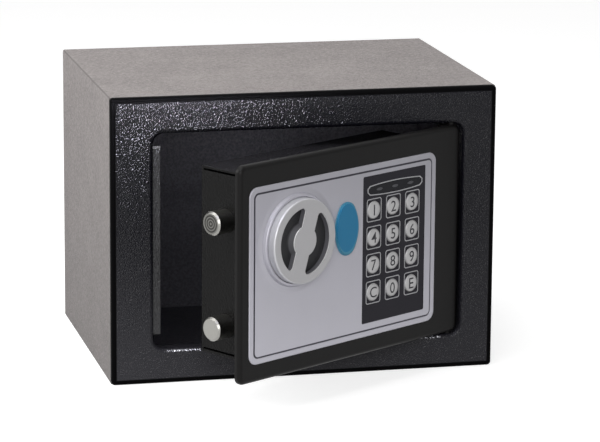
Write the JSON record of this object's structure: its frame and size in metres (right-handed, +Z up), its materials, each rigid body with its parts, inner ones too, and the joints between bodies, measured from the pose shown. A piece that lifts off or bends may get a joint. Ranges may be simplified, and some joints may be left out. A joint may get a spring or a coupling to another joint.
{
  "type": "electronic safe",
  "caption": "Small electronic steel safe with its door ajar: round bolts, turning knob, emergency lock under an oval cover, and a keypad.",
  "frame": {"origin": "middle of the underside of the case, on the surface it stands on", "axes": "+X to the hinge side as seen from the front, +Y from the front to the back, +Z up"},
  "size_m": [0.23, 0.2622, 0.17],
  "materials": {
    "case_paint": "fine textured graphite-grey powder coat",
    "frame_paint": "coarse leather-grain black powder coat, semi-gloss",
    "door_paint": "smooth satin black paint",
    "housing_paint": "lightly grained black paint",
    "bright_steel": "zinc-plated steel",
    "bolt_steel": "turned nickel-plated steel",
    "silver_panel": "satin silver lacquer",
    "knob_silver": "satin silver lacquer",
    "key_silver": "satin silver lacquer with dark characters",
    "keypad_plastic": "charcoal matt plastic",
    "smoked_lens": "smoked window",
    "lamp_plastic": "unlit lamp",
    "dome_rubber": "moulded rubber",
    "circuit_board": "green lacquered board",
    "white_plastic": "natural plastic",
    "coil_copper": "lacquered copper winding",
    "black_plastic": "fine textured black plastic",
    "battery_jacket": "plain jacket",
    "lock_brass": "nickel-plated brass",
    "cover_blue": "glossy blue plastic",
    "button_red": "red plastic"
  },
  "bodies": {
    "case": {"case_shell": "case_paint", "front_frame": "frame_paint", "back_panel": "case_paint", "strike_plate": "frame_paint", "hinge_lug_upper": "frame_paint", "hinge_lug_lower": "frame_paint"},
    "door": {"door_plate": "door_paint", "hinge_block_upper": "door_paint", "hinge_block_lower": "door_paint", "hinge_pins": "bright_steel", "lock_housing": "housing_paint", "rear_cover": "housing_paint", "rear_cover_screws": "bright_steel", "front_panel": "silver_panel", "keypad_panel": "keypad_plastic", "lamp_window": "smoked_lens", "signal_lamps": "lamp_plastic", "dome_sheet": "dome_rubber", "circuit_board": "circuit_board", "board_screws": "bright_steel", "knob_ring": "silver_panel", "knob_bush": "white_plastic", "carriage_studs": "bright_steel", "solenoid_frame": "bright_steel", "solenoid_coil": "coil_copper", "plunger_spring": "bright_steel", "lock_barrel": "bolt_steel", "lock_nut": "bright_steel", "battery_tray": "black_plastic", "battery_cells": "battery_jacket", "battery_contacts": "bright_steel", "reset_switch": "black_plastic"},
    "knob": {"knob": "knob_silver", "knob_cam": "bright_steel"},
    "bolts": {"bolt_carriage": "bright_steel", "bolt_upper": "bolt_steel", "bolt_lower": "bolt_steel"},
    "plunger": {"solenoid_plunger": "bright_steel"},
    "lock_core": {"lock_core": "lock_brass"},
    "key_cover": {"key_cover": "cover_blue"},
    "battery_cover": {"battery_cover": "black_plastic"},
    "reset_button": {"reset_button": "button_red"},
    "key_1": {"key_1": "key_silver"},
    "key_2": {"key_2": "key_silver"},
    "key_3": {"key_3": "key_silver"},
    "key_4": {"key_4": "key_silver"},
    "key_5": {"key_5": "key_silver"},
    "key_6": {"key_6": "key_silver"},
    "key_7": {"key_7": "key_silver"},
    "key_8": {"key_8": "key_silver"},
    "key_9": {"key_9": "key_silver"},
    "key_c": {"key_c": "key_silver"},
    "key_0": {"key_0": "key_silver"},
    "key_e": {"key_e": "key_silver"}
  },
  "joints": [
    {"name": "door_swing", "type": "hinge", "parent": "case", "child": "door", "pos_m": [0.0885, -0.0805, 0.0845], "axis": [0, 0, 1], "range_deg": [-32, 63]},
    {"name": "knob_turn", "type": "hinge", "parent": "door", "child": "knob", "pos_m": [-0.01996, -0.15829, 0.0995], "axis": [0.5299, -0.848, 0], "range_deg": [0, 60]},
    {"name": "bolt_throw", "type": "slide", "parent": "door", "child": "bolts", "axis": [-0.848, -0.5299, 0], "range_m": [0, 0.012]},
    {"name": "plunger_drop", "type": "slide", "parent": "door", "child": "plunger", "axis": [-0.5299, 0.848, 0], "range_m": [0, 0.0025]},
    {"name": "emergency_lock_turn", "type": "hinge", "parent": "door", "child": "lock_core", "pos_m": [0.00655, -0.12522, 0.0995], "axis": [-0.5299, 0.848, 0], "range_deg": [0, 90]},
    {"name": "key_cover_pull", "type": "slide", "parent": "door", "child": "key_cover", "axis": [0.5299, -0.848, 0], "range_m": [0, 0.006]},
    {"name": "battery_cover_slide", "type": "slide", "parent": "door", "child": "battery_cover", "axis": [0, 0, -1], "range_m": [0, 0.012]},
    {"name": "reset_button_press", "type": "slide", "parent": "door", "child": "reset_button", "axis": [0.5299, -0.848, 0], "range_m": [0, 0.001], "stiffness_N_per_m": 300},
    {"name": "key_1_press", "type": "slide", "parent": "door", "child": "key_1", "axis": [-0.5299, 0.848, 0], "range_m": [0, 0.0008], "stiffness_N_per_m": 250},
    {"name": "key_2_press", "type": "slide", "parent": "door", "child": "key_2", "axis": [-0.5299, 0.848, 0], "range_m": [0, 0.0008], "stiffness_N_per_m": 250},
    {"name": "key_3_press", "type": "slide", "parent": "door", "child": "key_3", "axis": [-0.5299, 0.848, 0], "range_m": [0, 0.0008], "stiffness_N_per_m": 250},
    {"name": "key_4_press", "type": "slide", "parent": "door", "child": "key_4", "axis": [-0.5299, 0.848, 0], "range_m": [0, 0.0008], "stiffness_N_per_m": 250},
    {"name": "key_5_press", "type": "slide", "parent": "door", "child": "key_5", "axis": [-0.5299, 0.848, 0], "range_m": [0, 0.0008], "stiffness_N_per_m": 250},
    {"name": "key_6_press", "type": "slide", "parent": "door", "child": "key_6", "axis": [-0.5299, 0.848, 0], "range_m": [0, 0.0008], "stiffness_N_per_m": 250},
    {"name": "key_7_press", "type": "slide", "parent": "door", "child": "key_7", "axis": [-0.5299, 0.848, 0], "range_m": [0, 0.0008], "stiffness_N_per_m": 250},
    {"name": "key_8_press", "type": "slide", "parent": "door", "child": "key_8", "axis": [-0.5299, 0.848, 0], "range_m": [0, 0.0008], "stiffness_N_per_m": 250},
    {"name": "key_9_press", "type": "slide", "parent": "door", "child": "key_9", "axis": [-0.5299, 0.848, 0], "range_m": [0, 0.0008], "stiffness_N_per_m": 250},
    {"name": "key_c_press", "type": "slide", "parent": "door", "child": "key_c", "axis": [-0.5299, 0.848, 0], "range_m": [0, 0.0008], "stiffness_N_per_m": 250},
    {"name": "key_0_press", "type": "slide", "parent": "door", "child": "key_0", "axis": [-0.5299, 0.848, 0], "range_m": [0, 0.0008], "stiffness_N_per_m": 250},
    {"name": "key_e_press", "type": "slide", "parent": "door", "child": "key_e", "axis": [-0.5299, 0.848, 0], "range_m": [0, 0.0008], "stiffness_N_per_m": 250}
  ],
  "couplings": [
    {"joint": "knob_turn", "follows": "bolt_throw", "rad_per_m": 87.266}
  ]
}
